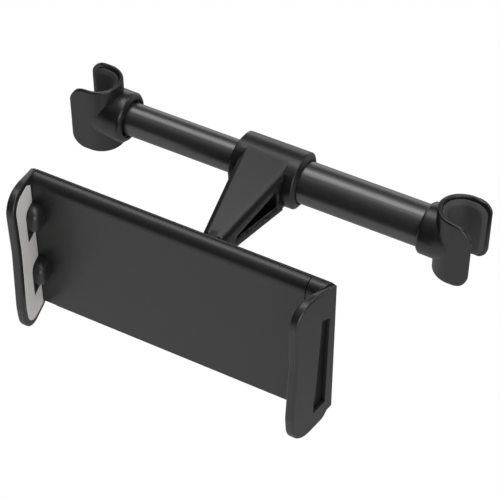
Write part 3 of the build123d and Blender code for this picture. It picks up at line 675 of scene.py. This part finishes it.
# Rubber linings of the hooks: a pad with chamfered borders, bent round the post.
linerSettings = {
    # node: piece and side
    "left_hook_liner": ("leftLiner", -1),
    "right_hook_liner": ("rightLiner", 1),
}
linerPad = dict(
    radius=9.05, thick=2.15, half=16.3, reach=8.2, corner=6.4,  # reach is that of its straight ends
    chamfer=1.9, slope=0.72, edgeDrop=0.25, edgeWidth=0.5,  # its borders, and the rounding at their rim
    borders=(0, 0.12, 0.3, 0.6, 1.1, 1.6, 1.9, 2.2, 2.8, 3.6), steps=(44, 22), smooth=50,  # its mesh
)
linerBend = math.pi * linerPad["radius"] / 2
linerLength = linerBend + linerPad["reach"]


def spread(half, borders, steps):
    # Places from -half to half that lie close together near both ends.
    inner = half - borders[-1]
    middle = [-inner + 2 * inner * index / steps for index in range(1, steps)]
    return [-half + border for border in borders] + middle + [half - border for border in reversed(borders)]


def linerRise(along, height, over):
    # How far a point of the pad's front stands above its back, less towards the borders.
    sizes = linerPad
    beyond = max(0, abs(along) - (linerLength - sizes["corner"]))
    if beyond and over:
        inset = sizes["corner"] - math.hypot(beyond, over)
    else:
        inset = min(linerLength - abs(along), sizes["half"] - abs(height))
    inset = max(0, inset)
    chamfer = max(0, sizes["chamfer"] - inset) * sizes["slope"]
    return sizes["thick"] - (chamfer + sizes["edgeDrop"] * max(0, 1 - inset / sizes["edgeWidth"]) ** 2)


def bent(along, rise):
    # Where a point of the flat pad lies once it is bent round the post's axis, seen from above.
    radius = linerPad["radius"] - rise
    if abs(along) <= linerBend:
        turn = along / linerPad["radius"]
        return -math.cos(turn) * radius, math.sin(turn) * radius
    return abs(along) - linerBend, math.copysign(radius, along)


def rimOf(rows):
    # The outermost points of a sheet, in order round it.
    ring = list(rows[0]) + [row[-1] for row in rows[1:]]
    return ring + list(reversed(rows[-1][:-1])) + [row[0] for row in reversed(rows[1:-1])]


def hookLiner(node, name, side):
    sizes = linerPad
    low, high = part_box(node)
    axisX = (high[0] if side > 0 else low[0]) / mm - side * sizes["reach"]
    axisY, axisZ = [(low[part] + high[part]) / 2 / mm for part in (1, 2)]
    across = spread(1.0, [border / linerLength for border in sizes["borders"]], sizes["steps"][0])
    work = bmesh.new()
    rims = []
    for front in (True, False):
        rows = []
        for height in spread(sizes["half"], sizes["borders"], sizes["steps"][1]):
            over = max(0, abs(height) - (sizes["half"] - sizes["corner"]))
            width = linerLength - sizes["corner"] + math.sqrt(max(0, sizes["corner"] ** 2 - over ** 2))
            row = []
            for share in across:
                along = share * width
                x, y = bent(along, linerRise(along, height, over) if front else 0.0)
                place = ((axisX + side * x) * mm, (axisY + y) * mm, (axisZ + height) * mm)
                row.append(work.verts.new(place))
            rows.append(row)
        joinRows(work, rows, turned=not front)
        rims.append(rimOf(rows))
    frontRim, backRim = rims
    for index in range(len(frontRim)):
        after = (index + 1) % len(frontRim)
        work.faces.new((frontRim[after], frontRim[index], backRim[index], backRim[after]))
    bmesh.ops.recalc_face_normals(work, faces=work.faces)
    mesh = bpy.data.meshes.new(name)
    work.to_mesh(mesh)
    work.free()
    piece = inScene(name, mesh)
    trimHook(piece)
    smoothShade(piece, sizes["smooth"])
    finish(piece, node)


for node, (name, side) in linerSettings.items():
    hookLiner(node, name, side)
print("liners bent:", len(linerSettings))


def sizedTree(name, sizes):
    # A geometry tree with named inputs, its builder, and its inputs by name.
    tree = bpy.data.node_groups.new(name, "GeometryNodeTree")
    tree.interface.new_socket("Geometry", in_out="INPUT", socket_type="NodeSocketGeometry")
    for label, kind in sizes.items():
        tree.interface.new_socket(label, in_out="INPUT", socket_type="NodeSocket" + kind)
    tree.interface.new_socket("Geometry", in_out="OUTPUT", socket_type="NodeSocketGeometry")
    builder = Builder(tree)
    given = builder.node("NodeGroupInput", out=None)
    return tree, builder, {output.name: Wire(builder, output) for output in given.outputs}


def closeTree(builder, shape, material):
    # Every tree ends in real meshes with their material.
    real = builder.node("GeometryNodeRealizeInstances", sockets={"Geometry": shape})
    coated = builder.node("GeometryNodeSetMaterial", sockets={"Geometry": real, "Material": material})
    builder.node("NodeGroupOutput", sockets={"Geometry": coated}, out=None)


def grown(name, tree, places, values):
    # Runs a tree on loose points and leaves a plain mesh.
    mesh = bpy.data.meshes.new(name)
    mesh.from_pydata([[part * mm for part in place] for place in places], [], [])
    piece = inScene(name, mesh)
    modifier = piece.modifiers.new("grow", "NODES")
    modifier.node_group = tree
    for item in tree.interface.items_tree:
        if item.in_out == "INPUT" and item.name in values:
            modifier[item.identifier] = values[item.name]
    return applied(piece)


coilDetail = dict(turnSteps=28, wireSides=10, smooth=50)


def coilTree():
    # A round wire wound round an axis along X, once at every point.
    tree, builder, given = sizedTree("coilSpring", {
        "Radius": "Float", "Wire": "Float", "Length": "Float", "Turns": "Float", "Material": "Material",
    })
    path = builder.node("GeometryNodeCurveSpiral", sockets={
        "Resolution": coilDetail["turnSteps"], "Rotations": given["Turns"], "Start Radius": given["Radius"],
        "End Radius": given["Radius"], "Height": given["Length"],
    })
    section = builder.node("GeometryNodeCurvePrimitiveCircle", sockets={
        "Resolution": coilDetail["wireSides"], "Radius": given["Wire"],
    })
    wound = builder.node("GeometryNodeCurveToMesh", sockets={
        "Curve": path, "Profile Curve": section, "Fill Caps": True,
    })
    laid = builder.node("GeometryNodeTransform", sockets={
        "Geometry": wound, "Rotation": (0, math.pi / 2, 0),
    })
    coils = builder.node("GeometryNodeInstanceOnPoints", sockets={
        "Points": given["Geometry"], "Instance": laid,
    })
    closeTree(builder, coils, given["Material"])
    return tree


# Places are where a spring's axis starts. What a squash or a stretch says is in metres.
springSettings = {
    "bar_spring": dict(
        name="barSpring", places=[(11.66, 89.2, 0.6)], radius=6.4, wire=0.6, length=58.93, turns=9.5,
        squash=dict(travel=0.045, axis=(0.0892, 0.0006))),
    "jaw_springs": dict(
        name="jawSprings", places=[(-59.0, 6.2, -15), (-59.0, 6.2, 15)],
        radius=2.1, wire=0.3, length=28.75, turns=16.0,
        stretch=dict(to="jaw", start=(-59.3 * mm, 6.2 * mm, 0), end=(-29.95 * mm, 6.2 * mm, 0))),
}
coil = coilTree()
for node, sizes in springSettings.items():
    spring = grown(sizes["name"], coil, sizes["places"], {
        "Radius": sizes["radius"] * mm, "Wire": sizes["wire"] * mm, "Length": sizes["length"] * mm,
        "Turns": sizes["turns"], "Material": materials["springSteel"],
    })
    smoothShade(spring, coilDetail["smooth"])
    finish(spring, node, sizes.get("stretch"))
    squash = sizes.get("squash")
    if squash:  # it gets a mesh of its own; what the bar's travel would take off its length is worked out and not used
        full = (sizes["length"] + 2 * sizes["wire"]) * mm
        1 - squash["travel"] / full
        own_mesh(spring)


screwDetail = dict(
    headSides=40, socketSides=6, shankSides=24, socketShare=0.46, segments=2, edgeAngle=40, smooth=35)


def screwTree():
    # A headed screw with a hexagon socket, pointing out along its turned Z, once at every point.
    tree, builder, given = sizedTree("socketScrew", {
        "Head Radius": "Float", "Head Depth": "Float", "Shank Radius": "Float", "Shank Length": "Float",
        "Socket Depth": "Float", "Turn": "Vector", "Material": "Material",
    })
    sizes = screwDetail

    def rod(sides, radius, depth, middle):
        drum = builder.node("GeometryNodeMeshCylinder", sockets={
            "Vertices": sides, "Radius": radius, "Depth": depth,
        })
        centre = builder.node("ShaderNodeCombineXYZ", sockets={"Z": middle})
        return builder.node("GeometryNodeTransform", sockets={"Geometry": drum, "Translation": centre})

    depth, length = given["Head Depth"], given["Shank Length"]
    head = rod(sizes["headSides"], given["Head Radius"], depth, depth * 0.5)
    keyRadius = given["Head Radius"] * sizes["socketShare"]
    key = rod(sizes["socketSides"], keyRadius, given["Socket Depth"] * 2, depth)
    cut = builder.node(
        "GeometryNodeMeshBoolean", {"operation": "DIFFERENCE"}, {"Mesh 1": head, "Mesh 2": key})
    shank = rod(sizes["shankSides"], given["Shank Radius"], length, length * -0.5)
    joined = builder.node("GeometryNodeJoinGeometry", out=None)
    for part in (cut, shank):
        builder.tree.links.new(part.socket, joined.inputs[0])
    whole = Wire(builder, joined.outputs[0])
    screws = builder.node("GeometryNodeInstanceOnPoints", sockets={
        "Points": given["Geometry"], "Instance": whole, "Rotation": given["Turn"],
    })
    closeTree(builder, screws, given["Material"])
    return tree


# Places are where a screw's head sits down, and its turn in degrees is what points its head outwards.
# A head and a shank have a radius and a length, and a socket a depth.
screwSettings = {
    "cover_screws": dict(
        name="coverScrews", places=[(x, 8.4, z) for x in (-52.0, 0.0, 52.0) for z in (-30.0, 30.0)],
        turn=(-90, 0, 0), head=(2.25, 1.4), shank=(1.2, 5.4), socket=0.8, edge=0.35),
    "arm_screws": dict(
        name="armScrews", places=[(-8.0, 89.2, -11.3), (8.0, 89.2, -11.3)],
        turn=(180, 0, 0), head=(2.9, 1.5), shank=(1.5, 3.05), socket=0.9, edge=0.3),
    "cover_spring_screws": dict(
        name="coverSpringScrews", places=[(-60.5, 3.6, -15.0), (-60.5, 3.6, 15.0)],
        turn=(90, 0, 0), head=(1.9, 0.8), shank=(1.0, 7.1), socket=0.5, edge=0.15),
    "slide_spring_screws": dict(
        name="slideSpringScrews", places=[(-28.0, 7.6, -15.0), (-28.0, 7.6, 15.0)],
        turn=(-90, 0, 0), head=(1.9, 0.8), shank=(1.0, 4.7), socket=0.5, edge=0.15),
    "left_hook_screw": dict(
        name="leftHookScrew", places=[(-80.05, 89.2, 0.6)],
        turn=(0, -90, 0), head=(4.5, 1.6), shank=(2.45, 10.0), socket=1.0, edge=0.3),
    "right_hook_screw": dict(
        name="rightHookScrew", places=[(81.85, 89.2, 0.6)],
        turn=(0, 90, 0), head=(4.5, 1.6), shank=(2.45, 10.0), socket=1.0, edge=0.3),
}
socketScrew = screwTree()
for node, sizes in screwSettings.items():
    screw = grown(sizes["name"], socketScrew, sizes["places"], {
        "Head Radius": sizes["head"][0] * mm, "Head Depth": sizes["head"][1] * mm,
        "Shank Radius": sizes["shank"][0] * mm, "Shank Length": sizes["shank"][1] * mm,
        "Socket Depth": sizes["socket"] * mm, "Turn": [math.radians(angle) for angle in sizes["turn"]],
        "Material": materials["screwSteel"],
    })
    breakEdges(screw, sizes["edge"], screwDetail["edgeAngle"], screwDetail["segments"])
    smoothShade(screw, screwDetail["smooth"])
    finish(screw, node)
print("springs and screws grown:", len(springSettings) + len(screwSettings))

# The other nodes keep the solid's own shape and only get a finish.
madeHere = set().union(shellSettings, linerSettings, springSettings, screwSettings)
for node in nodes:
    if node not in madeHere:
        for index in range(len(nodes[node].data.materials)):
            nodes[node].data.materials[index] = materials[finishOf[slotOf[node]]]

# Places and sizes are in metres, the lens and the sensor in mm, turns in degrees, lamps in watts.
studio = {
    "cameraPlace": (289.54 * mm, -465.31 * mm, 574.86 * mm),
    "cameraTurn": (45.0, 0.0, 28.5),
    "lens": 135.0,
    "sensor": 36,
    "clipStart": 0.01,
    "floorLevel": -0.36,
    "floorReach": 4.0,
    "floorGrey": 245,
    "backdropPlace": 2.2,
    "backdropTop": 0.55,
    "worldStops": ((0.0, 0.04), (0.2, 0.05), (0.65, 0.08), (0.88, 0.42), (1.0, 0.55)),
    "lamps": {
        "topLamp": dict(place=(0.05, 0.20, 0.95), size=1.60, width=0.40, power=7.8),
        "rightLamp": dict(place=(1.3, -0.9, 0.5), size=1.3, width=1.0, power=17.0),
        "fillLamp": dict(place=(-0.9, 1.6, 0.35), size=1.4, width=0.8, power=3.0),
        "backLamp": dict(place=(0.66, 0.93, 0.95), size=0.6, width=0.5, power=2.6),
    },
}
# How bright the floor looks in reflections: it fades along Y, and is brighter past some places.
floorGlow = dict(start=0.6, fade=0.85, low=0.12, high=0.88, past=((0.75, 0.3), (1.5, 0.45)))

camera = inScene("camera", bpy.data.cameras.new("camera"))
camera.location = studio["cameraPlace"]
camera.rotation_euler = [math.radians(angle) for angle in studio["cameraTurn"]]
camera.data.lens = studio["lens"]
camera.data.sensor_width = studio["sensor"]
camera.data.clip_start = studio["clipStart"]
bpy.context.scene.camera = camera

for name, lamp in studio["lamps"].items():
    light = bpy.data.lights.new(name, "AREA")
    light.energy = lamp["power"]
    light.shape = "RECTANGLE"
    light.size = lamp["size"]
    light.size_y = lamp["width"]
    holder = inScene(name, light)
    holder.location = lamp["place"]
    holder.rotation_euler = (-Vector(lamp["place"])).to_track_quat("-Z", "Y").to_euler()

# The camera sees the floor and backdrop as white, and reflections see them by their glow.
white = (1, 1, 1, 1)
floorPaper = bpy.data.materials.new("floorPaper")
paperTree = freshTree(floorPaper)
rays = paperTree.node("ShaderNodeLightPath", out=None)
direct, glossy, through = [
    Wire(paperTree, rays.outputs[f"Is {kind} Ray"]) for kind in ("Camera", "Glossy", "Transmission")]
depth = paperTree.node("ShaderNodeSeparateXYZ", sockets={0: paperTree.place()}, out="Y")
fading = paperTree.node("ShaderNodeClamp", sockets={
    0: floorGlow["start"] - depth * floorGlow["fade"], "Min": floorGlow["low"], "Max": floorGlow["high"],
})
for place, more in floorGlow["past"]:
    fading = fading + (depth > place) * more
paper = paperTree.node("ShaderNodeBsdfDiffuse", sockets={"Color": grey(studio["floorGrey"])})
glow = paperTree.node("ShaderNodeEmission", sockets={
    "Color": white, "Strength": direct + (1 - direct) * fading,
})
lit = paperTree.node("ShaderNodeMixShader", sockets={0: direct + glossy + through, 1: paper, 2: glow})
below = paperTree.node("ShaderNodeNewGeometry", out="Backfacing")
clear = paperTree.node("ShaderNodeBsdfTransparent")
shown = paperTree.node("ShaderNodeMixShader", sockets={0: below, 1: lit, 2: clear})  # only from above
paperTree.node("ShaderNodeOutputMaterial", sockets={"Surface": shown}, out=None)

floorMesh = bpy.data.meshes.new("studioFloor")
reach, level = studio["floorReach"], studio["floorLevel"]
wall, top = studio["backdropPlace"], studio["backdropTop"]
floorMesh.from_pydata(
    [(-reach, -reach, level), (reach, -reach, level), (reach, reach, level), (-reach, reach, level),
     (-reach, wall, level), (reach, wall, level), (reach, wall, top), (-reach, wall, top)],
    [], [(0, 1, 2, 3), (4, 5, 6, 7)],
)
floorMesh.materials.append(floorPaper)
floor = inScene("studioFloor", floorMesh)

world = bpy.data.worlds.new("studioWorld")
bpy.context.scene.world = world
worldTree = freshTree(world)
seen = worldTree.node("ShaderNodeLightPath", out="Is Camera Ray")
way = worldTree.node("ShaderNodeTexCoord", out="Generated")
height = worldTree.node("ShaderNodeSeparateXYZ", sockets={0: way}, out="Z")
stops = [(place, (tone, tone, tone, 1)) for place, tone in studio["worldStops"]]
sky = worldTree.node("ShaderNodeValToRGB", {"stops": stops}, {0: height})
back = worldTree.node("ShaderNodeBackground", sockets={
    "Color": worldTree.mixColour(seen, sky, white), "Strength": 1.0,
})
worldTree.node("ShaderNodeOutputWorld", sockets={"Surface": back}, out=None)
bpy.context.scene.view_settings.view_transform = "Standard"
print("studio set")
